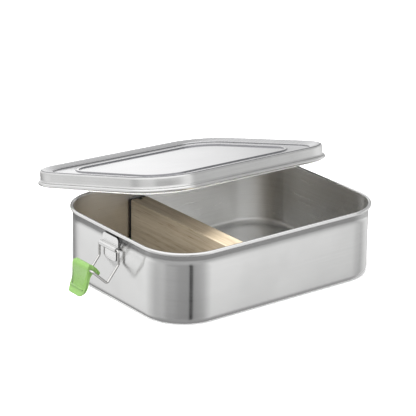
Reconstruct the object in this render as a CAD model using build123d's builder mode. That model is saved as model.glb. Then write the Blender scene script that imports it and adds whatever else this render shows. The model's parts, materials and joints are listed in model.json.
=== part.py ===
from build123d import *
import os

# Container
length = 200.0
width = 151.0
height = 56.0
corner_radius = 34.5
base_radius = 6.0
sheet = 0.8

# Rolled bead shared by the container's rim and the lid's skirt
bead_radius = 1.4
bead_offset = bead_radius - sheet

# Lid
lid_height = 11.3
lid_shoulder_radius = 1.8
border_width = 10.0
recess_depth = 2.8
panel_inset = 12.0
ridge_width = 3.6
ridge_height = 0.9
step_radius = 0.7

# Lid seal
seal_clearance = 0.05
seal_width = 2.2
seal_drop = 1.2
seal_rise = 3.2

# Lid's place, lying askew over the back of the container
lid_x = 5.5
lid_y = 55.5
lid_z = 64.2
lid_yaw = 10.0
lid_pitch = 5.0
lid_roll = -11.2

# Divider board with a seal strip keyed into each end
divider_x = -24.5
divider_thickness = 15.4
divider_top = 42.8
divider_gap = 0.3
divider_half_length = 72.6
divider_corner = 6.0
divider_edge = 0.8
strip_width = 13.0
strip_reach = 1.9
strip_bottom = 7.6
key_width = 3.0
key_depth = 3.6
key_clearance = 0.05

# Latch bracket
bracket_thickness = 1.1
bracket_width = 20.0
bracket_top = 51.5
bracket_corner = 3.0
tail_width = 14.4
tail_bottom = 32.2
barrel_radius = 2.1
barrel_length = 20.8
barrel_x = -(length / 2 + 2.4)
barrel_z = 43.0

# Bail wire
wire_radius = 0.9
wire_clearance = 0.05
wire_bend = 1.6
bail_half_width = 12.2
wire_end_gap = 0.4
knee_z = 32.5
elbow_x = -112.4
elbow_z = 20.5
hook_x = -124.8
hook_z = 32.0

# Clip, profile given about the bail's cross wire
clip_half_width = 9.8
clip_top = 4.4
clip_bottom = -20.0
clip_tip_corner = 6.5
clip_head_corner = 1.4
clip_edge = 0.4
clip_outer = [(-2.5, 1.4), (-2.9, -5.0), (-3.7, -10.5), (-5.4, -14.5), (-8.0, -18.8)]
clip_inner = [(-6.4, -20.0), (-3.2, -15.2), (-1.5, -10.5), (-0.6, -5.6), (1.0, -3.4)]
hook_root = (3.2, -2.2)
hook_tip_low = (6.6, -4.9)
hook_tip_high = (8.4, -3.4)
hook_back = (5.6, 0.4)
hook_top = (1.3, clip_top)
head_front = (-0.4, clip_top)
rib_radius = 0.6
rib_length = 15.0

inner_length = length - 2 * sheet
inner_width = width - 2 * sheet
inner_radius = corner_radius - sheet
cut_margin = 1.0

# Centre line of a rolled bead, on the XY plane
bead_outline = RectangleRounded(
    length + 2 * bead_offset,
    width + 2 * bead_offset,
    corner_radius + bead_offset,
)
bead_line = bead_outline.face().outer_wire()

# Pressed container with a rolled rim
rim_path_z = height - bead_radius
rim_path = bead_line.moved(Location((0, 0, rim_path_z)))
with BuildPart() as container:
    with BuildSketch(Plane.XY):
        RectangleRounded(length, width, corner_radius)
    extrude(amount=rim_path_z)
    fillet(container.faces().sort_by(Axis.Z)[0].edges(), radius=base_radius)
    offset(amount=-sheet, openings=container.faces().sort_by(Axis.Z)[-1])
    with BuildSketch(Plane(rim_path @ 0, z_dir=rim_path % 0)):
        Circle(bead_radius)
    sweep(path=rim_path)

# Pressed lid, drawn with its skirt's lower edge on the XY plane
skirt_path = bead_line.moved(Location((0, 0, bead_radius)))
with BuildPart() as lid_pressing:
    with BuildSketch(Plane.XY.offset(bead_radius)):
        RectangleRounded(length, width, corner_radius)
    extrude(amount=lid_height - bead_radius)
    fillet(lid_pressing.faces().sort_by(Axis.Z)[-1].edges(), radius=lid_shoulder_radius)
    offset(amount=-sheet, openings=lid_pressing.faces().sort_by(Axis.Z)[0])
    with BuildSketch(Plane.XY.offset(lid_height - recess_depth - sheet)):
        RectangleRounded(
            length - 2 * border_width + 2 * sheet,
            width - 2 * border_width + 2 * sheet,
            corner_radius - border_width + sheet,
        )
    extrude(amount=recess_depth)
    with BuildSketch(Plane.XY.offset(lid_height - recess_depth)):
        RectangleRounded(
            length - 2 * border_width,
            width - 2 * border_width,
            corner_radius - border_width,
        )
    extrude(amount=recess_depth + cut_margin, mode=Mode.SUBTRACT)
    recess_floor = lid_height - recess_depth
    panel_border = border_width + panel_inset
    ridge_inset = panel_border + ridge_width
    with BuildSketch(Plane.XY.offset(recess_floor)):
        RectangleRounded(
            length - 2 * panel_border,
            width - 2 * panel_border,
            corner_radius - border_width,
        )
        RectangleRounded(
            length - 2 * ridge_inset,
            width - 2 * ridge_inset,
            corner_radius - border_width - ridge_width,
            mode=Mode.SUBTRACT,
        )
    extrude(amount=ridge_height)
    with BuildSketch(Plane.XY.offset(recess_floor - sheet)):
        RectangleRounded(
            length - 2 * (panel_border + sheet),
            width - 2 * (panel_border + sheet),
            corner_radius - border_width - sheet,
        )
        RectangleRounded(
            length - 2 * (ridge_inset - sheet),
            width - 2 * (ridge_inset - sheet),
            corner_radius - border_width - ridge_width + sheet,
            mode=Mode.SUBTRACT,
        )
    extrude(amount=ridge_height, mode=Mode.SUBTRACT)
    rim_edges = lid_pressing.faces().filter_by(Axis.Z).sort_by(Axis.Z)[-1].inner_wires()[0].edges()
    fillet(rim_edges, radius=step_radius)
    with BuildSketch(Plane(skirt_path @ 0, z_dir=skirt_path % 0)):
        Circle(bead_radius)
    sweep(path=skirt_path)

# Silicone ring inside the skirt, its lip below the skirt's edge
with BuildPart() as seal_ring:
    with BuildSketch(Plane.XY.offset(-seal_drop)):
        RectangleRounded(
            inner_length - 2 * seal_clearance,
            inner_width - 2 * seal_clearance,
            inner_radius - seal_clearance,
        )
        RectangleRounded(
            inner_length - 2 * (seal_clearance + seal_width),
            inner_width - 2 * (seal_clearance + seal_width),
            inner_radius - seal_clearance - seal_width,
            mode=Mode.SUBTRACT,
        )
    extrude(amount=seal_drop + seal_rise)

lid_rest = (
    Location((lid_x, lid_y, lid_z))
    * Rotation(0, 0, lid_yaw)
    * Rotation(0, lid_pitch, 0)
    * Rotation(lid_roll, 0, 0)
)
with BuildPart() as lid:
    with Locations(lid_rest):
        add(lid_pressing.part)
with BuildPart() as lid_seal:
    with Locations(lid_rest):
        add(seal_ring.part)

# Wooden board across the container's width
divider_bottom = sheet + divider_gap
board_middle_z = (divider_top + divider_bottom) / 2
strip_middle_z = (divider_top + strip_bottom) / 2
with BuildPart() as divider:
    with Locations((divider_x, 0, board_middle_z)):
        Box(divider_thickness, 2 * divider_half_length, divider_top - divider_bottom)
    lower_corners = divider.edges().filter_by(Axis.X).group_by(Axis.Z)[0]
    fillet(lower_corners, radius=divider_corner)
    with Locations(
        (divider_x, divider_half_length - key_depth / 2, strip_middle_z),
        (divider_x, -divider_half_length + key_depth / 2, strip_middle_z),
    ):
        Box(
            key_width + 2 * key_clearance,
            key_depth,
            divider_top - strip_bottom,
            mode=Mode.SUBTRACT,
        )
    long_edges = divider.edges().filter_by(Axis.Y).filter_by(lambda e: e.length > width / 2)
    fillet(long_edges, radius=divider_edge)

with BuildPart() as divider_strip_back:
    with Locations((divider_x, divider_half_length + strip_reach / 2, strip_middle_z)):
        Box(strip_width, strip_reach, divider_top - strip_bottom)
    with Locations((divider_x, divider_half_length - key_depth / 2 + key_clearance, strip_middle_z)):
        Box(key_width, key_depth - 2 * key_clearance, divider_top - strip_bottom)

with BuildPart() as divider_strip_front:
    mirror(divider_strip_back.part, about=Plane.XZ)

# Bracket on the left wall: flange, tail and curled barrel
with BuildPart() as bracket_left:
    flange_height = bracket_top - barrel_z
    tail_height = barrel_z - tail_bottom
    with BuildSketch(Plane.YZ.offset(-length / 2 - bracket_thickness)):
        with Locations((0, barrel_z + flange_height / 2)):
            flange = Rectangle(bracket_width, flange_height)
        fillet(flange.vertices().group_by(Axis.Z)[-1], radius=bracket_corner)
    extrude(amount=bracket_thickness)
    with BuildSketch(Plane.YZ.offset(-length / 2 - bracket_thickness)):
        with Locations((0, barrel_z - tail_height / 2)):
            tail = Rectangle(tail_width, tail_height)
        fillet(tail.vertices().group_by(Axis.Z)[0], radius=bracket_corner)
    extrude(amount=bracket_thickness)
    with BuildSketch(Plane.XZ.offset(-barrel_length / 2)):
        with Locations((barrel_x, barrel_z)):
            Circle(barrel_radius)
    extrude(amount=barrel_length)
    with BuildSketch(Plane.XZ.offset(-barrel_length / 2)):
        with Locations((barrel_x, barrel_z)):
            Circle(wire_radius + wire_clearance)
    extrude(amount=barrel_length, mode=Mode.SUBTRACT)

# Bent bail wire, its ends meeting inside the barrel
with BuildPart() as bail_left:
    with BuildLine() as wire_path:
        FilletPolyline(
            (barrel_x, wire_end_gap, barrel_z),
            (barrel_x, bail_half_width, barrel_z),
            (barrel_x, bail_half_width, knee_z),
            (elbow_x, bail_half_width, elbow_z),
            (hook_x, bail_half_width, hook_z),
            (hook_x, -bail_half_width, hook_z),
            (elbow_x, -bail_half_width, elbow_z),
            (barrel_x, -bail_half_width, knee_z),
            (barrel_x, -bail_half_width, barrel_z),
            (barrel_x, -wire_end_gap, barrel_z),
            radius=wire_bend,
        )
    with BuildSketch(Plane((barrel_x, wire_end_gap, barrel_z), z_dir=(0, 1, 0))):
        Circle(wire_radius)
    sweep(path=wire_path.wires()[0])

# Moulded clip turning on the cross wire
with BuildPart() as clip_left:
    clip_plane = Plane(
        origin=(hook_x, clip_half_width, hook_z), x_dir=(1, 0, 0), z_dir=(0, -1, 0)
    )
    with BuildSketch(clip_plane) as clip_profile:
        with BuildLine():
            Line(hook_top, head_front)
            Line(head_front, clip_outer[0])
            Spline(*clip_outer)
            Line(clip_outer[-1], clip_inner[0])
            Spline(*clip_inner)
            Polyline(clip_inner[-1], hook_root, hook_tip_low, hook_tip_high, hook_back, hook_top)
        make_face()
        fillet(clip_profile.vertices(), radius=clip_edge)
    extrude(amount=2 * clip_half_width)
    with BuildSketch(Plane.YZ.offset(hook_x - clip_half_width)):
        with Locations((0, hook_z + (clip_top + clip_bottom) / 2)):
            outline = Rectangle(2 * clip_half_width, clip_top - clip_bottom)
        fillet(outline.vertices().group_by(Axis.Z)[0], radius=clip_tip_corner)
        fillet(outline.vertices().group_by(Axis.Z)[-1], radius=clip_head_corner)
    extrude(amount=3 * clip_half_width, mode=Mode.INTERSECT)
    with Locations((hook_x + clip_outer[3][0], 0, hook_z + clip_outer[3][1])):
        Cylinder(rib_radius, rib_length, rotation=(90, 0, 0))
    with Locations((hook_x, 0, hook_z)):
        Cylinder(
            wire_radius + wire_clearance,
            3 * clip_half_width,
            rotation=(90, 0, 0),
            mode=Mode.SUBTRACT,
        )

with BuildPart() as bracket_right:
    mirror(bracket_left.part, about=Plane.YZ)
with BuildPart() as bail_right:
    mirror(bail_left.part, about=Plane.YZ)
with BuildPart() as clip_right:
    mirror(clip_left.part, about=Plane.YZ)

container.part.label = "container"
lid.part.label = "lid"
lid_seal.part.label = "lid_seal"
divider.part.label = "divider"
divider_strip_back.part.label = "divider_strip_back"
divider_strip_front.part.label = "divider_strip_front"
bracket_left.part.label = "bracket_left"
bail_left.part.label = "bail_left"
clip_left.part.label = "clip_left"
bracket_right.part.label = "bracket_right"
bail_right.part.label = "bail_right"
clip_right.part.label = "clip_right"

os.makedirs("parts", exist_ok=True)
export_step(container.part, "parts/container.step")
export_step(lid.part, "parts/lid.step")
export_step(lid_seal.part, "parts/lid_seal.step")
export_step(divider.part, "parts/divider.step")
export_step(divider_strip_back.part, "parts/divider_strip_back.step")
export_step(divider_strip_front.part, "parts/divider_strip_front.step")
export_step(bracket_left.part, "parts/bracket_left.step")
export_step(bail_left.part, "parts/bail_left.step")
export_step(clip_left.part, "parts/clip_left.step")
export_step(bracket_right.part, "parts/bracket_right.step")
export_step(bail_right.part, "parts/bail_right.step")
export_step(clip_right.part, "parts/clip_right.step")
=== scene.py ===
import json
import math

import bmesh
import bpy
from mathutils import Matrix, Vector

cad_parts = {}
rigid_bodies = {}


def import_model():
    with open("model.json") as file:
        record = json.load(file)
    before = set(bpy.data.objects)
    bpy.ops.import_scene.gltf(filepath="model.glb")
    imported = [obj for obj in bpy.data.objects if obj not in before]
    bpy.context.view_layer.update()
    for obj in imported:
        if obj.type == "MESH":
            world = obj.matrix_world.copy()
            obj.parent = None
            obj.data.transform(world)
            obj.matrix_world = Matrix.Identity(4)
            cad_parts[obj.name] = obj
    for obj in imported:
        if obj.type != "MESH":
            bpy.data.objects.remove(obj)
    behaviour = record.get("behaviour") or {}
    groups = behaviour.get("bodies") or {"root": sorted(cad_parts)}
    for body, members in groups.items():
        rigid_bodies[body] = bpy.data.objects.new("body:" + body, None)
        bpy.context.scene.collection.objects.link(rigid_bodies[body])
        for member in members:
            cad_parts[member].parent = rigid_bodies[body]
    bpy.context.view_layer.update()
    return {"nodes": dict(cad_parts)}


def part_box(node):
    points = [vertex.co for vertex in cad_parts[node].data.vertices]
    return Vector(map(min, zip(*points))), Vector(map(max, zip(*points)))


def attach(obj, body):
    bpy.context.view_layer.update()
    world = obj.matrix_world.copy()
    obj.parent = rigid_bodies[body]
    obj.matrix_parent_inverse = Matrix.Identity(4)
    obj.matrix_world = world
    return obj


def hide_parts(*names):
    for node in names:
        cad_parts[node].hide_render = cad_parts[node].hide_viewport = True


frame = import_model()
scene = bpy.context.scene

MM = 0.001

# ---------------------------------------------------------------- sizes the CAD boxes don't say
# Pressed sheet: the container's walls and the lid share their outline and rolled edge
SHEET = 0.8 * MM
BEAD_R = 1.4 * MM
BEAD_OUT = 2 * BEAD_R - SHEET       # how far the rolled edge stands out from the wall
CORNER_R = 34.5 * MM
BASE_R = 6.0 * MM                   # rounding at the foot of the wall
MIN_RING_R = 0.3 * MM

# Lid, measured inwards from its skirt and up from its lower edge
LID_H = 11.3 * MM
LID_SHOULDER = 1.8 * MM
LID_BORDER = 10.0 * MM
LID_RECESS = 2.8 * MM
PANEL_IN = 22.0 * MM
PANEL_MIN_R = 3 * MM
RIDGE_WIDE = 3.6 * MM
RIDGE_HIGH = 0.9 * MM
BORDER_SAG = 1.6 * MM               # the border dips this much towards the recess
LID_TURN = (Matrix.Rotation(math.radians(10.0), 4, "Z")
            @ Matrix.Rotation(math.radians(5.0), 4, "Y")
            @ Matrix.Rotation(math.radians(-11.2), 4, "X"))

# Latches, measured out from the short wall and up from the table
WIRE_R = 0.9 * MM
WIRE_BEND = 1.6 * MM
WIRE_GAP = 0.4 * MM                 # half the gap between the wire's ends
BAIL_HALF = 12.2 * MM
BARREL_OUT, BARREL_Z = 2.4 * MM, 43.0 * MM
KNEE_Z = 32.5 * MM
ELBOW_OUT, ELBOW_Z = 12.4 * MM, 20.5 * MM
HOOK_OUT, HOOK_Z = 24.8 * MM, 32.0 * MM
BARREL_R = 2.1 * MM
BARREL_PLAY = 0.05 * MM
PLATE_THICK = 1.1 * MM
PLATE_CORNER = 3.0 * MM
FLANGE_HALF, TAIL_HALF = 10.0 * MM, 7.2 * MM
PLATE_OVERLAP = 0.6 * MM            # the flange and the tail cross over behind the barrel

_, con_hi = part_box("container")
HALF_L = con_hi.x - BEAD_OUT
HALF_W = con_hi.y - BEAD_OUT
HEIGHT = con_hi.z


# ---------------------------------------------------------------- mesh helpers
def new_object(name, bm, materials, body, nodes):
    """A smooth-shaded object; with a body it rides on it and replaces the CAD nodes."""
    mesh = bpy.data.meshes.new(name)
    bm.normal_update()
    bm.to_mesh(mesh)
    bm.free()
    obj = bpy.data.objects.new(name, mesh)
    scene.collection.objects.link(obj)
    for m in materials:
        mesh.materials.append(m)
    for p in mesh.polygons:
        p.use_smooth = True
    if body:
        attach(obj, body)
        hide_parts(*nodes)
    return obj


def rounded_ring(hx, hy, r, z, corner_steps=22, side_steps=5):
    """Points round a rounded rectangle, with the same count whatever its size."""
    r = max(r, MIN_RING_R)
    pts = []
    corners = ((1, 1, 0.0), (-1, 1, 90.0), (-1, -1, 180.0), (1, -1, 270.0))
    for k, (sx, sy, start) in enumerate(corners):
        cx, cy = sx * (hx - r), sy * (hy - r)
        for i in range(corner_steps + 1):
            a = math.radians(start + 90.0 * i / corner_steps)
            pts.append(Vector((cx + r * math.cos(a), cy + r * math.sin(a), z)))
        nx, ny, nstart = corners[(k + 1) % 4]
        end = Vector((nx * (hx - r) + r * math.cos(math.radians(nstart)),
                      ny * (hy - r) + r * math.sin(math.radians(nstart)), z))
        here = pts[-1].copy()
        for i in range(1, side_steps + 1):
            pts.append(here.lerp(end, i / (side_steps + 1)))
    return pts


def arc(cx, cz, r, a0, a1, steps):
    """Points (offset, height) along an arc, angles in degrees."""
    out = []
    for i in range(steps + 1):
        a = math.radians(a0 + (a1 - a0) * i / steps)
        out.append((cx + r * math.cos(a), cz + r * math.sin(a)))
    return out


def sweep_rings(profile, hx, hy, radius_of, closed=False, marks=None):
    """Rings along a profile of (offset, height); marks gives each band's material index."""
    bm = bmesh.new()
    rings = []
    for d, z in profile:
        ring = rounded_ring(hx + d, hy + d, radius_of(d), z)
        rings.append([bm.verts.new(p) for p in ring])
    n = len(rings[0])
    count = len(rings) if closed else len(rings) - 1
    for i in range(count):
        a, b = rings[i], rings[(i + 1) % len(rings)]
        for j in range(n):
            f = bm.faces.new((a[j], a[(j + 1) % n], b[(j + 1) % n], b[j]))
            if marks:
                f.material_index = marks[i]
    if not closed:
        first = bm.faces.new(list(reversed(rings[0])))
        last = bm.faces.new(rings[-1])
        if marks:
            first.material_index = marks[0]
            last.material_index = marks[-1]
    bmesh.ops.recalc_face_normals(bm, faces=bm.faces[:])
    return bm


def rounded_polyline(points, bend, steps=8):
    """A polyline with each inner corner rounded to the given radius."""
    out = [Vector(points[0])]
    for i in range(1, len(points) - 1):
        p0, p1, p2 = (Vector(points[k]) for k in (i - 1, i, i + 1))
        u = (p0 - p1).normalized()
        v = (p2 - p1).normalized()
        half = u.angle(v) / 2
        cut = bend / math.tan(half)
        a, b = p1 + u * cut, p1 + v * cut
        centre = p1 + (u + v).normalized() * (bend / math.sin(half))
        ra, rb = a - centre, b - centre
        total = ra.angle(rb)
        axis = ra.cross(rb).normalized()
        for k in range(steps + 1):
            out.append(centre + Matrix.Rotation(total * k / steps, 3, axis) @ ra)
    out.append(Vector(points[-1]))
    return out


def tube(path, radius, sides=20):
    """A closed round tube along a path."""
    bm = bmesh.new()
    rings = []
    direction = (path[1] - path[0]).normalized()
    side = direction.orthogonal().normalized()
    for i, p in enumerate(path):
        if i == 0:
            t = (path[1] - path[0]).normalized()
        elif i == len(path) - 1:
            t = (path[-1] - path[-2]).normalized()
        else:
            t = ((path[i + 1] - p).normalized() + (p - path[i - 1]).normalized()).normalized()
        side = (side - t * side.dot(t)).normalized()
        up = t.cross(side)
        rings.append([bm.verts.new(p + (side * math.cos(a) + up * math.sin(a)) * radius)
                      for a in (2 * math.pi * k / sides for k in range(sides))])
    for a, b in zip(rings, rings[1:]):
        for j in range(sides):
            bm.faces.new((a[j], a[(j + 1) % sides], b[(j + 1) % sides], b[j]))
    bm.faces.new(list(reversed(rings[0])))
    bm.faces.new(rings[-1])
    bmesh.ops.recalc_face_normals(bm, faces=bm.faces[:])
    return bm


def bevel_mesh(bm, width, segments, angle):
    """Rounds the edges that turn by more than angle, in degrees."""
    edges = [e for e in bm.edges if len(e.link_faces) == 2
             and e.calc_face_angle(0) > math.radians(angle)]
    bmesh.ops.bevel(bm, geom=edges, offset=width, segments=segments, profile=0.5,
                    affect="EDGES", clamp_overlap=True)


def prism(outline, axis_x, axis_y, origin, depth_axis, depth):
    """A flat outline of (u, v) points given depth along depth_axis."""
    bm = bmesh.new()
    near = [bm.verts.new(origin + axis_x * u + axis_y * v) for u, v in outline]
    far = [bm.verts.new(v.co + depth_axis * depth) for v in near]
    n = len(outline)
    bm.faces.new(near)
    bm.faces.new(list(reversed(far)))
    for i in range(n):
        bm.faces.new((near[i], near[(i + 1) % n], far[(i + 1) % n], far[i]))
    bmesh.ops.recalc_face_normals(bm, faces=bm.faces[:])
    return bm


def join_bmesh(target, extra):
    """Moves the faces of extra into target."""
    temp = bpy.data.meshes.new("temp")
    extra.to_mesh(temp)
    extra.free()
    target.from_mesh(temp)
    bpy.data.meshes.remove(temp)


# ---------------------------------------------------------------- materials
def material(name):
    """A new material with its nodes, its links and its shader."""
    m = bpy.data.materials.new(name)
    m.use_nodes = True
    tree = m.node_tree
    return m, tree.nodes, tree.links, tree.nodes["Principled BSDF"]


def noise(nodes, links, vector, scale, detail=3.0, rough=0.5):
    n = nodes.new("ShaderNodeTexNoise")
    n.inputs["Scale"].default_value = scale
    n.inputs["Detail"].default_value = detail
    n.inputs["Roughness"].default_value = rough
    links.new(vector, n.inputs["Vector"])
    return n.outputs["Fac"]


def ramp(nodes, links, fac, stops):
    """A colour ramp from (position, colour) stops."""
    r = nodes.new("ShaderNodeValToRGB")
    el = r.color_ramp.elements
    while len(el) < len(stops):
        el.new(0.5)
    for e, (pos, col) in zip(el, stops):
        e.position = pos
        e.color = (*col, 1.0)
    links.new(fac, r.inputs["Fac"])
    return r.outputs["Color"]


def grey(v):
    return (v, v, v)


def mapping(nodes, links, vector, scale, rotation=(0, 0, 0)):
    """The vector scaled, then turned."""
    m = nodes.new("ShaderNodeMapping")
    m.inputs["Scale"].default_value = scale
    m.inputs["Rotation"].default_value = rotation
    links.new(vector, m.inputs["Vector"])
    return m.outputs["Vector"]


def blend_values(nodes, links, a, b, how="MULTIPLY"):
    """Two varying values multiplied, or put together some other way."""
    m = nodes.new("ShaderNodeMath")
    m.operation = how
    links.new(a, m.inputs[0])
    links.new(b, m.inputs[1])
    return m.outputs[0]


def multiply_colours(nodes, links, a, b):
    mix = nodes.new("ShaderNodeMix")
    mix.data_type = "RGBA"
    mix.blend_type = "MULTIPLY"
    mix.inputs["Factor"].default_value = 1.0
    links.new(a, mix.inputs["A"])
    links.new(b, mix.inputs["B"])
    return mix.outputs["Result"]


def to_value(nodes, links, colour):
    b = nodes.new("ShaderNodeRGBToBW")
    links.new(colour, b.inputs["Color"])
    return b.outputs[0]


def bumped(nodes, links, bsdf, height, strength, distance):
    """Gives the shader a fine bump from a varying height."""
    b = nodes.new("ShaderNodeBump")
    b.inputs["Strength"].default_value = strength
    b.inputs["Distance"].default_value = distance
    links.new(height, b.inputs["Height"])
    links.new(b.outputs["Normal"], bsdf.inputs["Normal"])


QUARTER_TURN = 0.25                 # lays the stretched highlights up and down the wall


def steel(name, tint, streak_scale, rough=(0.24, 0.34), aniso=0.0, bump=0.03,
          streak_depth=0.05, foot_shade=None, painted_edge_shade=None, on_lid=False):
    """Brushed stainless: streaks, long where streak_scale is small, and smudges over them.

    aniso: how far highlights stretch up and down the wall.
    foot_shade: (low, high, dim) heights between which the steel brightens from its foot: painted
    shade, darkest at the foot.
    painted_edge_shade: (start, end, dark) facing values between which edge-on steel darkens:
    painted shade along the edges turned from the view.
    on_lid: brush the sheet in the lid's own directions.
    """
    m, nodes, links, bsdf = material(name)
    coord = nodes.new("ShaderNodeTexCoord").outputs["Object"]
    if on_lid:
        coord = mapping(nodes, links, coord, (1, 1, 1), LID_TURN.inverted().to_euler())
    streaks = noise(nodes, links, mapping(nodes, links, coord, streak_scale), 1.0, 5.0, 0.65)
    smudge = noise(nodes, links, coord, 22.0, 3.0, 0.55)
    lo = [c * (1.0 - streak_depth) for c in tint]
    hi = [min(1.0, c * (1.0 + streak_depth)) for c in tint]
    colour = multiply_colours(
        nodes, links, ramp(nodes, links, streaks, [(0.3, lo), (0.7, hi)]),
        ramp(nodes, links, smudge, [(0.35, grey(0.95)), (0.6, grey(1.0))]))
    # Painted shade: the steel is darkened towards its foot.
    if foot_shade:
        low, high, dim = foot_shade
        height = nodes.new("ShaderNodeSeparateXYZ")
        links.new(coord, height.inputs[0])
        band = nodes.new("ShaderNodeMapRange")
        band.inputs["From Min"].default_value = low
        band.inputs["From Max"].default_value = high
        links.new(height.outputs["Z"], band.inputs["Value"])
        colour = multiply_colours(
            nodes, links, colour,
            ramp(nodes, links, band.outputs[0],
                 [(0.0, grey(dim * 0.6)), (0.10, grey(dim)), (1.0, grey(1.0))]))
    # Painted shade: steel seen edge-on is darkened towards its outline.
    if painted_edge_shade:
        start, end, dark = painted_edge_shade
        facing = nodes.new("ShaderNodeLayerWeight")
        facing.inputs["Blend"].default_value = 0.5
        colour = multiply_colours(
            nodes, links, colour,
            ramp(nodes, links, facing.outputs["Facing"],
                 [(start, grey(1.0)), (end, grey(dark))]))
    links.new(colour, bsdf.inputs["Base Color"])
    streak_rough = ramp(nodes, links, streaks, [(0.3, grey(rough[0])), (0.7, grey(rough[1]))])
    smudge_rough = ramp(nodes, links, smudge, [(0.35, grey(1.12)), (0.6, grey(1.0))])
    links.new(blend_values(nodes, links, to_value(nodes, links, streak_rough),
                           to_value(nodes, links, smudge_rough)), bsdf.inputs["Roughness"])
    bumped(nodes, links, bsdf, streaks, bump, 0.02 * MM)
    bsdf.inputs["Metallic"].default_value = 1.0
    if aniso:
        bsdf.inputs["Anisotropic"].default_value = aniso
        bsdf.inputs["Anisotropic Rotation"].default_value = QUARTER_TURN
        tangent = nodes.new("ShaderNodeTangent")
        tangent.direction_type = "RADIAL"
        tangent.axis = "Z"
        links.new(tangent.outputs["Tangent"], bsdf.inputs["Tangent"])
    return m


STEEL = (0.80, 0.80, 0.795)
RIM_STEEL = (0.86, 0.86, 0.855)
# Painted light: the inner walls and floors are brighter than the outer walls, lifting the shade
# inside the box.
INNER_STEEL = (0.90, 0.90, 0.89)
# The outer walls carry painted shade that darkens them towards the table.
wall_steel = steel("wall_steel", STEEL, (10, 10, 1500), rough=(0.15, 0.21), aniso=0.94,
                   bump=0.012, streak_depth=0.03, foot_shade=(0.0, 0.052, 0.84))
inner_steel = steel("inner_steel", INNER_STEEL, (14, 14, 1500), rough=(0.26, 0.36), aniso=0.7)
floor_steel = steel("floor_steel", INNER_STEEL, (18, 1300, 18), rough=(0.30, 0.40))
# The rolled edges get painted shade where they turn away from the view.
bead_steel = steel("bead_steel", RIM_STEEL, (30, 30, 900), rough=(0.10, 0.16), bump=0.01,
                   streak_depth=0.02, painted_edge_shade=(0.62, 0.95, 0.45))
skirt_steel = steel("skirt_steel", STEEL, (10, 10, 1500), rough=(0.18, 0.25), aniso=0.9,
                    bump=0.015, streak_depth=0.03, on_lid=True)
lid_top_steel = steel("lid_top_steel", (0.84, 0.84, 0.85), (16, 1300, 16), rough=(0.10, 0.15),
                      streak_depth=0.03, on_lid=True)
# Painted shade: the border and the recess's upper wall in steel darker than the panel's.
border_shade_steel = steel("border_shade_steel", (0.72, 0.72, 0.73), (16, 900, 16), rough=(0.20, 0.30),
                     streak_depth=0.04, on_lid=True)
# Painted shade: dark steel for the ridge's steep walls, and darker steel for the lower recess wall
# and the shoulder's fold.
step_shade_steel = steel("step_shade_steel", (0.34, 0.34, 0.36), (40, 40, 40), rough=(0.16, 0.24),
                   streak_depth=0.04)
crease_shade_steel = steel("crease_shade_steel", (0.20, 0.20, 0.21), (40, 40, 40), rough=(0.16, 0.24),
                     streak_depth=0.04)
bracket_steel = steel("bracket_steel", RIM_STEEL, (60, 60, 1400), rough=(0.20, 0.30), bump=0.05)
# Painted shade: near-black steel on the bracket plates' side faces, standing for the shadowed gap
# beside them.
gap_shade_steel = steel("gap_shade_steel", (0.06, 0.06, 0.06), (200, 200, 200), rough=(0.35, 0.45))
# The wire gets painted shade along its outline, where it turns away from the view.
wire_steel = steel("wire_steel", (0.90, 0.89, 0.87), (300, 300, 300), rough=(0.10, 0.18),
                   bump=0.02, streak_depth=0.06, painted_edge_shade=(0.28, 0.62, 0.10))


def wood_material():
    """Pale oiled wood, its grain along the board (Y)."""
    m, nodes, links, bsdf = material("divider_wood")
    coord = nodes.new("ShaderNodeTexCoord").outputs["Object"]
    warp = noise(nodes, links, mapping(nodes, links, coord, (60, 9, 60)), 1.0, 2.0)
    spread = nodes.new("ShaderNodeVectorMath")
    spread.operation = "SCALE"
    spread.inputs["Scale"].default_value = 0.006
    links.new(warp, spread.inputs[0])
    shifted = nodes.new("ShaderNodeVectorMath")
    shifted.operation = "MULTIPLY_ADD"
    links.new(coord, shifted.inputs[0])
    shifted.inputs[1].default_value = (1, 1, 1)
    links.new(spread.outputs[0], shifted.inputs[2])
    along_grain = mapping(nodes, links, shifted.outputs[0], (420, 9, 420))
    rings = noise(nodes, links, along_grain, 1.0, 4.0, 0.6)
    pores = noise(nodes, links, mapping(nodes, links, coord, (2400, 70, 2400)), 1.0, 2.0, 0.6)
    broad = noise(nodes, links, mapping(nodes, links, coord, (70, 12, 70)), 1.0, 2.0)
    colour = ramp(nodes, links, rings, [(0.25, (0.33, 0.27, 0.19)), (0.5, (0.43, 0.36, 0.265)),
                                        (0.75, (0.52, 0.45, 0.345))])
    pore_tint = ramp(nodes, links, pores, [(0.30, (0.62, 0.58, 0.52)), (0.42, (1, 1, 1))])
    broad_tint = ramp(nodes, links, broad, [(0.3, (0.90, 0.89, 0.87)), (0.7, (1.06, 1.05, 1.03))])
    for tint in (pore_tint, broad_tint):
        colour = multiply_colours(nodes, links, colour, tint)
    links.new(colour, bsdf.inputs["Base Color"])
    links.new(ramp(nodes, links, rings, [(0.3, grey(0.62)), (0.7, grey(0.5))]),
              bsdf.inputs["Roughness"])
    bumped(nodes, links, bsdf, blend_values(nodes, links, rings, pores, "ADD"), 0.25, 0.12 * MM)
    return m


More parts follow.
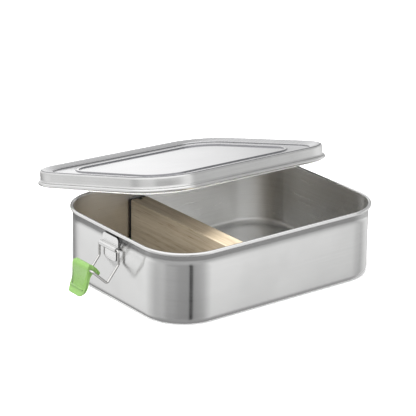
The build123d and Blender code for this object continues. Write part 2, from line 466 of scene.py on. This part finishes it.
def moulded(name, dark, light, rough, bump=0.06, subsurface=0.0, coat=0.0):
    """Moulded plastic or rubber: a faint cloud of colour and a fine grain."""
    m, nodes, links, bsdf = material(name)
    coord = nodes.new("ShaderNodeTexCoord").outputs["Object"]
    cloud = noise(nodes, links, coord, 90.0, 3.0)
    fine = noise(nodes, links, coord, 1500.0, 2.0)
    links.new(ramp(nodes, links, cloud, [(0.3, dark), (0.7, light)]), bsdf.inputs["Base Color"])
    links.new(ramp(nodes, links, fine, [(0.3, grey(rough - 0.05)), (0.7, grey(rough + 0.06))]),
              bsdf.inputs["Roughness"])
    bumped(nodes, links, bsdf, fine, bump, 0.05 * MM)
    bsdf.inputs["Coat Weight"].default_value = coat
    if subsurface:
        bsdf.inputs["Subsurface Weight"].default_value = subsurface
        bsdf.inputs["Subsurface Radius"].default_value = (0.6, 1.0, 0.3)
        bsdf.inputs["Subsurface Scale"].default_value = 1.5 * MM
    return m


clip_green = moulded("clip_green", (0.112, 0.215, 0.048), (0.125, 0.236, 0.056), 0.30, bump=0.03,
                     subsurface=0.05, coat=0.8)
seal_silicone = moulded("seal_silicone", (0.70, 0.70, 0.68), (0.76, 0.76, 0.74), 0.5,
                        subsurface=0.1)
strip_rubber = moulded("strip_rubber", (0.012, 0.012, 0.012), (0.022, 0.022, 0.022), 0.55)
divider_wood = wood_material()

# ---------------------------------------------------------------- container
def corner_radius(d):
    """Corner radius of the outline moved out by d."""
    return CORNER_R + d


# Half the angle of the bead that its wall cuts off
joint_angle = math.degrees(math.acos((BEAD_R - SHEET) / BEAD_R))
bead_z = HEIGHT - BEAD_R
WALL_BANDS = 5
FLOOR_RINGS = (-30 * MM, -12 * MM)
wall_heights = [BASE_R + (bead_z - BASE_R) * k / WALL_BANDS for k in range(1, WALL_BANDS)]
inner_heights = [bead_z - (bead_z - BASE_R) * k / WALL_BANDS for k in range(1, WALL_BANDS)]
outer_foot = arc(-BASE_R, BASE_R, BASE_R, -90, 0, 12)
bead_arc = arc(BEAD_R - SHEET, bead_z, BEAD_R, -180 + joint_angle, 180, 22)
inner_foot = arc(-BASE_R, BASE_R, BASE_R - SHEET, 0, -90, 12)
underside = [(d, 0.0) for d in FLOOR_RINGS]
outside = underside + outer_foot + [(0.0, z) for z in wall_heights]
inside = [(-SHEET, z) for z in inner_heights]
floor_top = [(d, SHEET) for d in reversed(FLOOR_RINGS)]
profile = outside + bead_arc + inside + inner_foot + floor_top
bead_end = len(outside) + len(bead_arc)
inner_end = bead_end + len(inside) + len(inner_foot)
# One material index per band between two rings
WALL, INNER, BEAD, FLOOR = range(4)
marks = []
for i in range(len(profile) - 1):
    if i < len(underside) or i >= inner_end:
        marks.append(FLOOR)
    elif i < len(outside):
        marks.append(WALL)
    elif i < bead_end - 1:
        marks.append(BEAD)
    else:
        marks.append(INNER)
bm = sweep_rings(profile, HALF_L, HALF_W, corner_radius, marks=marks)
new_object("container_shell", bm, [wall_steel, inner_steel, bead_steel, floor_steel],
           "container", ["container"])


# ---------------------------------------------------------------- lid, built flat and laid in place
def lid_radius(d):
    """Corner radius by distance from the skirt: constant across the recess."""
    if d > -LID_BORDER:
        return CORNER_R + d
    held = CORNER_R - LID_BORDER
    if d > -PANEL_IN:
        return held
    return max(held + (d + PANEL_IN), PANEL_MIN_R)


recess_z = LID_H - LID_RECESS
ridge_z = recess_z + RIDGE_HIGH
lip_z = LID_H - BORDER_SAG
ridge_in = -PANEL_IN - RIDGE_WIDE
SOFT = 0.5 * MM                     # radius of the pressed creases' edges
PANEL_MIDDLE = -58 * MM
PANEL_RING = -34 * MM
SKIRT_HIGH, SKIRT_LOW = 0.62 * LID_H, 0.42 * LID_H
# The border's rise from lip to shoulder: (distance from the step, share of the sag)
BORDER_RISE = ((3 * MM, 0.42), (5 * MM, 0.74), (6.6 * MM, 0.93))
UNDER_LIP_R = 0.6 * MM
UNDER_STEP_R = 1.4 * MM
UNDER_SLOPE = 0.3 * MM              # the hollow ridge's sides lean in by this

top_side = [(PANEL_MIDDLE, recess_z), (PANEL_RING, recess_z), (ridge_in - 3 * MM, recess_z)]
top_side += arc(ridge_in, recess_z + SOFT, SOFT, -90, -5, 5)
top_side += arc(ridge_in + 2 * SOFT, ridge_z - SOFT, SOFT, 175, 90, 5)
top_side += arc(-PANEL_IN - 2 * SOFT, ridge_z - SOFT, SOFT, 90, 5, 5)
top_side += arc(-PANEL_IN, recess_z + SOFT, SOFT, 185, 270, 5)
top_side += [(-PANEL_IN + 4 * MM, recess_z), (-LID_BORDER - 4 * MM, recess_z)]
top_side += arc(-LID_BORDER - SOFT, recess_z + SOFT, SOFT, -90, -10, 5)
top_side += arc(-LID_BORDER + SOFT, lip_z - SOFT, SOFT, 170, 98, 5)
top_side += [(-LID_BORDER + d, lip_z + share * BORDER_SAG) for d, share in BORDER_RISE]
top_side += [(-LID_SHOULDER - 0.4 * MM, LID_H)]
shoulder = arc(-LID_SHOULDER, LID_H - LID_SHOULDER, LID_SHOULDER, 90, 0, 8)
skirt = [(0.0, SKIRT_HIGH), (0.0, SKIRT_LOW)]
lid_bead = arc(BEAD_R - SHEET, BEAD_R, BEAD_R, 180 - joint_angle, -180, 24)
rise_d, rise_share = BORDER_RISE[1]
under = [(-SHEET, SKIRT_LOW)]
under += arc(-LID_SHOULDER, LID_H - LID_SHOULDER, LID_SHOULDER - SHEET, 0, 90, 5)
under += [(-LID_BORDER + rise_d, lip_z + rise_share * BORDER_SAG - SHEET)]
under += arc(-LID_BORDER + SHEET + UNDER_LIP_R, lip_z - SHEET - UNDER_LIP_R, UNDER_LIP_R,
             95, 180, 4)
under += arc(-LID_BORDER - SOFT, recess_z - SHEET + UNDER_STEP_R, UNDER_STEP_R, 0, -90, 6)
under += [(-PANEL_IN + MM, recess_z - SHEET),
          (-PANEL_IN - SHEET, recess_z),
          (-PANEL_IN - SHEET - UNDER_SLOPE, ridge_z - SHEET),
          (ridge_in + SHEET + UNDER_SLOPE, ridge_z - SHEET),
          (ridge_in + SHEET, recess_z),
          (ridge_in - MM, recess_z - SHEET),
          (PANEL_MIDDLE, recess_z - SHEET)]
profile = top_side + shoulder + skirt + lid_bead + under
# STEP and CREASE bands carry painted shade.
TOP, SKIRT, ROLL, UNDER, STEP, BORDER, CREASE = range(7)
CREASE_BANDS = 3                    # of the shoulder: a painted shade line along its fold
skirt_end = len(top_side) + len(shoulder) + len(skirt)
roll_end = skirt_end + len(lid_bead)
marks = []
for i, ((d0, z0), (d1, z1)) in enumerate(zip(profile, profile[1:])):
    past_top = i - len(top_side)
    steep = abs(z1 - z0) > 0.25 * abs(d1 - d0)
    if 0 <= past_top < CREASE_BANDS:
        marks.append(CREASE)
    elif past_top <= CREASE_BANDS:
        # Painted shade: the ridge's steep walls and the lower recess wall take dark steel.
        if steep and d0 < -PANEL_IN + MM:
            marks.append(STEP)
        elif steep and (z0 + z1) / 2 < (recess_z + lip_z) / 2:
            marks.append(CREASE)
        else:
            # The border and the recess's upper wall take the painted-shade grey.
            marks.append(TOP if d0 < -LID_BORDER - SOFT else BORDER)
    elif i < skirt_end:
        marks.append(SKIRT)
    elif i < roll_end - 1:
        marks.append(ROLL)
    else:
        marks.append(UNDER)
bm = sweep_rings(profile, HALF_L, HALF_W, lid_radius, marks=marks)
lid = new_object("lid_pressing", bm, [lid_top_steel, skirt_steel, bead_steel, floor_steel,
                                      step_shade_steel, border_shade_steel, crease_shade_steel],
                 None, [])
# Turned as it lies, its box is centred on the CAD lid's box
lid_lo, lid_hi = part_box("lid")
turned = [LID_TURN @ v.co for v in lid.data.vertices]
made_lo = Vector([min(p[k] for p in turned) for k in range(3)])
made_hi = Vector([max(p[k] for p in turned) for k in range(3)])
lid_place = Matrix.Translation((lid_lo + lid_hi - made_lo - made_hi) / 2) @ LID_TURN
lid.data.transform(lid_place)
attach(lid, "lid")
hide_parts("lid")

# ---------------------------------------------------------------- silicone ring in the lid
SEAL_PLAY, SEAL_WIDE = 0.05 * MM, 2.2 * MM
seal_out = -SHEET - SEAL_PLAY
seal_in = seal_out - SEAL_WIDE
seal_lo, seal_hi, seal_r = -1.2 * MM, 3.2 * MM, 0.45 * MM
ring_profile = (arc(seal_out - seal_r, seal_hi - seal_r, seal_r, 90, 0, 4)
                + arc(seal_out - seal_r, seal_lo + seal_r, seal_r, 0, -90, 4)
                + arc(seal_in + seal_r, seal_lo + seal_r, seal_r, -90, -180, 4)
                + arc(seal_in + seal_r, seal_hi - seal_r, seal_r, 180, 90, 4))
bm = sweep_rings(ring_profile, HALF_L, HALF_W, corner_radius, closed=True)
seal = new_object("seal_ring", bm, [seal_silicone], None, [])
seal.data.transform(lid_place)
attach(seal, "lid")
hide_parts("lid_seal")

# ---------------------------------------------------------------- divider board
board_lo, board_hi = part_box("divider")
BOARD_FOOT_R = 6.0 * MM             # clears the rounding at the foot of the walls
BOARD_EDGE_R = 0.5 * MM
outline = []
for cy, cz, start, r, steps in (
        (board_hi.y - BOARD_EDGE_R, board_hi.z - BOARD_EDGE_R, 0, BOARD_EDGE_R, 3),
        (board_lo.y + BOARD_EDGE_R, board_hi.z - BOARD_EDGE_R, 90, BOARD_EDGE_R, 3),
        (board_lo.y + BOARD_FOOT_R, board_lo.z + BOARD_FOOT_R, 180, BOARD_FOOT_R, 10),
        (board_hi.y - BOARD_FOOT_R, board_lo.z + BOARD_FOOT_R, 270, BOARD_FOOT_R, 10)):
    outline += arc(cy, cz, r, start, start + 90, steps)
bm = prism(outline, Vector((0, 1, 0)), Vector((0, 0, 1)), Vector((board_lo.x, 0, 0)),
           Vector((1, 0, 0)), board_hi.x - board_lo.x)
bevel_mesh(bm, 0.8 * MM, 3, 60.0)
new_object("divider_board", bm, [divider_wood], "divider", ["divider"])
for name in ("divider_strip_back", "divider_strip_front"):
    node = frame["nodes"][name]
    node.data.materials.clear()
    node.data.materials.append(strip_rubber)


# ---------------------------------------------------------------- latches
def plate(side, half, z_far, z_root, up):
    """Half of the bracket's flat sheet on the wall: up is 1 for the flange, -1 for the tail."""
    corner_z = z_far - up * PLATE_CORNER
    pts = [(half, z_root), (half, corner_z)]
    for i in range(1, 8):
        a = math.radians(90 * i / 8)
        pts.append((half - PLATE_CORNER + PLATE_CORNER * math.cos(a),
                    corner_z + up * PLATE_CORNER * math.sin(a)))
    pts.append((half - PLATE_CORNER, z_far))
    pts += [(-y, z) for y, z in reversed(pts)]
    bm = prism(pts, Vector((0, 1, 0)), Vector((0, 0, 1)), Vector((side * HALF_L, 0, 0)),
               Vector((side, 0, 0)), PLATE_THICK)
    for f in bm.faces:
        # The side faces take the painted-shade steel.
        f.material_index = 0 if abs(f.normal.x) > 0.5 else 1
    bevel_mesh(bm, 0.2 * MM, 2, 60.0)
    return bm


def bracket(side, node):
    """Flange, tail and a barrel curled from the same sheet, on the wall at side -1 or +1."""
    lo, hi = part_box(node)
    whole = plate(side, FLANGE_HALF, hi.z, BARREL_Z - PLATE_OVERLAP, 1)
    join_bmesh(whole, plate(side, TAIL_HALF, lo.z, BARREL_Z + PLATE_OVERLAP, -1))
    # The barrel's slit, 15 degrees to either side, faces the wall
    loop = (arc(0, 0, BARREL_R, 15, 345, 26)
            + arc(0, 0, WIRE_R + BARREL_PLAY, 345, 15, 26))
    barrel = prism([(side * -u, v) for u, v in loop], Vector((1, 0, 0)), Vector((0, 0, 1)),
                   Vector((side * (HALF_L + BARREL_OUT), lo.y, BARREL_Z)), Vector((0, 1, 0)),
                   hi.y - lo.y)
    bevel_mesh(barrel, 0.15 * MM, 2, 60.0)
    join_bmesh(whole, barrel)
    return whole


def bail(side):
    """The bent wire, its two ends meeting inside the barrel."""
    half_loop = [(BARREL_OUT, WIRE_GAP, BARREL_Z), (BARREL_OUT, BAIL_HALF, BARREL_Z),
                 (BARREL_OUT, BAIL_HALF, KNEE_Z), (ELBOW_OUT, BAIL_HALF, ELBOW_Z),
                 (HOOK_OUT, BAIL_HALF, HOOK_Z)]
    corners = half_loop + [(out, -y, z) for out, y, z in reversed(half_loop)]
    path = rounded_polyline([(side * (HALF_L + out), y, z) for out, y, z in corners], WIRE_BEND)
    return tube(path, WIRE_R)


def smooth_line(points, per):
    """A Catmull-Rom line through points, with per steps between two of them."""
    out = []
    ext = [points[0]] + list(points) + [points[-1]]
    for i in range(1, len(ext) - 2):
        p0, p1, p2, p3 = ext[i - 1], ext[i], ext[i + 1], ext[i + 2]
        for k in range(per):
            t = k / per
            out.append(tuple(
                0.5 * (2 * p1[c] + (p2[c] - p0[c]) * t
                       + (2 * p0[c] - 5 * p1[c] + 4 * p2[c] - p3[c]) * t * t
                       + (3 * p1[c] - p0[c] - 3 * p2[c] + p3[c]) * t ** 3) for c in (0, 1)))
    out.append(tuple(points[-1]))
    return out


# The clip's side view in mm from the cross wire it turns on: (towards the box, up)
CLIP_OUTER = [(-0.6, 4.2), (-1.9, 3.2), (-2.7, 1.2), (-2.9, -2.0), (-2.95, -5.0), (-3.3, -8.0),
              (-3.8, -10.8), (-4.6, -13.0), (-5.2, -14.1), (-5.6, -15.2), (-6.5, -16.8),
              (-7.9, -18.7)]
CLIP_TIP = [(-7.9, -19.1), (-7.6, -19.5), (-6.9, -19.8), (-6.5, -19.7)]
CLIP_INNER = [(-6.2, -19.4), (-4.9, -17.6), (-3.4, -15.2), (-2.3, -12.6), (-1.5, -9.8),
              (-0.9, -7.0), (-0.3, -5.2), (0.9, -3.6)]
CLIP_HOOK = [(1.6, -3.0), (3.2, -2.4), (4.9, -3.2), (6.2, -4.4), (6.8, -4.7), (7.6, -4.2),
             (8.1, -3.6), (8.0, -2.9)]
CLIP_BACK = [(7.4, -2.0), (6.4, -0.6), (5.2, 0.8), (3.8, 2.2), (2.4, 3.5), (1.3, 4.2),
             (0.3, 4.4)]
CLIP_ACROSS = 12
CLIP_HALF = 9.8
CLIP_TOP, CLIP_BOTTOM = 4.4, -20.0
TIP_CORNER, HEAD_CORNER = 6.5, 1.4
RIB_OUT, RIB_DOWN = 5.3 * MM, 14.3 * MM
RIB_HALF, RIB_R = 7.5 * MM, 0.6 * MM


def rounded_half(r, into):
    """The clip's half width this far into a corner of radius r, at most to its end."""
    return CLIP_HALF - r + math.sqrt(max(r ** 2 - min(into, r) ** 2, 0))


def clip_half_width(z):
    """Half width of the clip at a height: rounded at its head and more at its tip."""
    low, high = CLIP_BOTTOM + TIP_CORNER - z, z - (CLIP_TOP - HEAD_CORNER)
    if low > 0:
        return rounded_half(TIP_CORNER, low)
    if high > 0:
        return rounded_half(HEAD_CORNER, high)
    return CLIP_HALF


def clip(side, hook):
    """Moulded clip: head on the cross wire, hook towards the box, curved tab."""
    loop = (smooth_line(CLIP_OUTER, 3) + CLIP_TIP + smooth_line(CLIP_INNER, 3)
            + smooth_line(CLIP_HOOK, 2) + smooth_line(CLIP_BACK, 2))
    bm = bmesh.new()
    rows = []
    for u, v in loop:
        w = clip_half_width(v)
        rows.append([bm.verts.new((hook.x - side * u * MM, w * MM * (2 * k / CLIP_ACROSS - 1),
                                   v * MM + hook.z)) for k in range(CLIP_ACROSS + 1)])
    for i, a in enumerate(rows):
        b = rows[(i + 1) % len(rows)]
        for k in range(CLIP_ACROSS):
            bm.faces.new((a[k], a[k + 1], b[k + 1], b[k]))
    for k in (0, CLIP_ACROSS):
        ends = [row[k] for row in rows]
        cap = bm.faces.new(ends if k else list(reversed(ends)))
        bmesh.ops.triangulate(bm, faces=[cap], quad_method="BEAUTY", ngon_method="BEAUTY")
    bmesh.ops.recalc_face_normals(bm, faces=bm.faces[:])
    bevel_mesh(bm, 0.45 * MM, 3, 55.0)
    return bm


def rib(side, hook):
    """Round grip rib across the tab, half sunk in it."""
    x, z = hook.x + side * RIB_OUT, hook.z - RIB_DOWN
    return tube([Vector((x, y, z)) for y in (-RIB_HALF, 0, RIB_HALF)], RIB_R, 14)


for side, word in ((-1, "left"), (1, "right")):
    new_object(f"{word}_bracket", bracket(side, f"bracket_{word}"), [bracket_steel, gap_shade_steel],
               "container", [f"bracket_{word}"])
    new_object(f"{word}_bail", bail(side), [wire_steel], f"bail_{word}", [f"bail_{word}"])
    hook = Vector((side * (HALF_L + HOOK_OUT), 0, HOOK_Z))
    bm = clip(side, hook)
    join_bmesh(bm, rib(side, hook))
    tab = new_object(f"{word}_clip", bm, [clip_green], f"clip_{word}", [f"clip_{word}"])
    tab.visible_glossy = False      # the photo's wall doesn't mirror the clip

BEVELLED = ("left_bracket", "right_bracket", "left_clip", "right_clip", "divider_board")
for o in scene.objects:
    if o.name in BEVELLED:
        mod = o.modifiers.new("normals", "WEIGHTED_NORMAL")
        mod.keep_sharp = True

# ---------------------------------------------------------------- studio
floor_mat, nodes, links, bsdf = material("studio_floor")
coord = nodes.new("ShaderNodeTexCoord").outputs["Object"]
links.new(ramp(nodes, links, noise(nodes, links, coord, 3.0),
               [(0.3, grey(0.90)), (0.7, grey(0.93))]), bsdf.inputs["Base Color"])
bsdf.inputs["Roughness"].default_value = 0.9
bsdf.inputs["Specular IOR Level"].default_value = 0.1
bsdf.inputs["Emission Color"].default_value = (1, 1, 1, 1)
bsdf.inputs["Emission Strength"].default_value = 0.25
STUDIO_HALF = 6.0
bm = bmesh.new()
bmesh.ops.create_grid(bm, x_segments=8, y_segments=8, size=STUDIO_HALF)
floor = new_object("studio_floor", bm, [floor_mat], None, [])
floor.visible_glossy = False        # the steel mirrors only the sky below

world = bpy.data.worlds.new("studio")
scene.world = world
world.use_nodes = True
wn, wl = world.node_tree.nodes, world.node_tree.links
wn.clear()
out = wn.new("ShaderNodeOutputWorld")
bg = wn.new("ShaderNodeBackground")
wl.new(bg.outputs[0], out.inputs[0])
direction = wn.new("ShaderNodeTexCoord").outputs["Generated"]
split = wn.new("ShaderNodeSeparateXYZ")
wl.new(direction, split.inputs[0])
around = wn.new("ShaderNodeMath")
around.operation = "ARCTAN2"
wl.new(split.outputs["Y"], around.inputs[0])
wl.new(split.outputs["X"], around.inputs[1])
turn = wn.new("ShaderNodeMath")
turn.operation = "MULTIPLY_ADD"
wl.new(around.outputs[0], turn.inputs[0])
turn.inputs[1].default_value = 1 / (2 * math.pi)
turn.inputs[2].default_value = 1.0
compass = wn.new("ShaderNodeMath")
compass.operation = "FRACT"
wl.new(turn.outputs[0], compass.inputs[0])


def bands(by_compass):
    """A grey round the table from (angle in degrees, brightness), at most 32 of them."""
    return ramp(wn, wl, compass.outputs[0], [(a / 360, grey(v)) for a, v in by_compass])


def over(a, b, low, high):
    """b above the height band low..high of the sky direction, a below it."""
    t = wn.new("ShaderNodeMapRange")
    wl.new(split.outputs["Z"], t.inputs["Value"])
    t.inputs["From Min"].default_value = low
    t.inputs["From Max"].default_value = high
    m = wn.new("ShaderNodeMix")
    m.data_type = "RGBA"
    wl.new(t.outputs[0], m.inputs["Factor"])
    wl.new(a, m.inputs["A"])
    wl.new(b, m.inputs["B"])
    return m.outputs["Result"]


# Softboxes and the gaps between them, by compass angle round the table: what the walls
# mirror (LOW), what the lid mirrors (LEVEL) and what its steps and the rims mirror (HIGH)
LOW = [(0, 0.75), (18, 0.9), (45, 0.55), (59, 0.25), (91, 0.36), (107, 0.76), (121, 1.0),
       (130, 1.02), (147, 0.80), (163, 0.62), (182, 0.60), (196, 0.42), (225, 0.35), (245, 0.34),
       (248, 0.30), (249.5, 0.0), (256.5, 0.0), (258, 0.30), (262, 0.40), (271, 0.43), (285, 0.52),
       (301, 0.80), (307, 0.97), (312, 0.82), (335, 0.62), (343, 0.52), (349, 0.56), (360, 0.75)]
LEVEL = [(0, 0.9), (30, 0.6), (49, 0.52), (51.5, 0.62), (53.5, 0.85), (56, 1.05), (70, 0.9),
         (103, 0.72), (145, 0.70), (160, 0.50), (168, 0.48), (188, 0.70), (211, 0.74), (225, 0.42),
         (245, 0.36), (258, 0.40), (275, 0.55), (290, 0.85), (303, 0.95), (315, 0.72),
         (323, 0.54), (327.4, 0.56), (330, 0.76), (345, 0.9), (360, 0.9)]
HIGH = [(0, 0.48), (52, 0.52), (66, 0.9), (80, 0.95), (120, 1.0), (200, 0.95), (260, 0.9),
        (312, 0.95), (322, 0.46), (360, 0.48)]
BELOW = [(0, 0.48), (360, 0.50)]
ABOVE = [(0, 1.15), (360, 1.2)]
sky = bands(BELOW)
for field, start, end in ((LOW, -0.80, -0.62), (LEVEL, -0.30, -0.18), (HIGH, 0.10, 0.24),
                          (ABOVE, 0.62, 0.80)):
    sky = over(sky, bands(field), start, end)
wl.new(sky, bg.inputs["Color"])
bg.inputs["Strength"].default_value = 1.0


def softbox(name, place, size, power, target=(0, 0, 0.03)):
    """A lamp for the plastic, wood and floor, which the steel doesn't mirror."""
    data = bpy.data.lights.new(name, "AREA")
    data.shape = "RECTANGLE"
    data.size, data.size_y = size
    data.energy = power
    light = bpy.data.objects.new(name, data)
    light.location = place
    light.visible_glossy = False
    light.rotation_euler = (Vector(target) - Vector(place)).to_track_quat("-Z", "Y").to_euler()
    scene.collection.objects.link(light)


softbox("overhead", (-0.3, -0.15, 1.6), (0.8, 0.8), 46)
softbox("key", (-1.2, -0.85, 0.85), (0.8, 0.8), 16)

# ---------------------------------------------------------------- camera
VIEW_AZ, VIEW_EL, VIEW_ROLL = math.radians(-127.26), math.radians(20.05), math.radians(0.77)
VIEW_DISTANCE = 1.473
VIEW_POINT = Vector((-0.00395, 0.01136, 0.04843))
FOCAL_OVER_WIDTH = 4.682
SENSOR = 36.0
toward = Vector((math.cos(VIEW_EL) * math.cos(VIEW_AZ), math.cos(VIEW_EL) * math.sin(VIEW_AZ),
                 math.sin(VIEW_EL)))
right = (-toward).cross(Vector((0, 0, 1))).normalized()
up = right.cross(-toward)
cam_right = right * math.cos(VIEW_ROLL) + up * math.sin(VIEW_ROLL)
cam_up = up * math.cos(VIEW_ROLL) - right * math.sin(VIEW_ROLL)
cam_data = bpy.data.cameras.new("camera")
cam_data.sensor_width = SENSOR
cam_data.lens = FOCAL_OVER_WIDTH * SENSOR
cam_data.clip_start = 0.05
cam_data.clip_end = 50
camera = bpy.data.objects.new("camera", cam_data)
scene.collection.objects.link(camera)
basis = Matrix((cam_right, cam_up, toward)).transposed().to_4x4()
camera.matrix_world = Matrix.Translation(VIEW_POINT + toward * VIEW_DISTANCE) @ basis
scene.camera = camera
scene.view_settings.view_transform = "Standard"
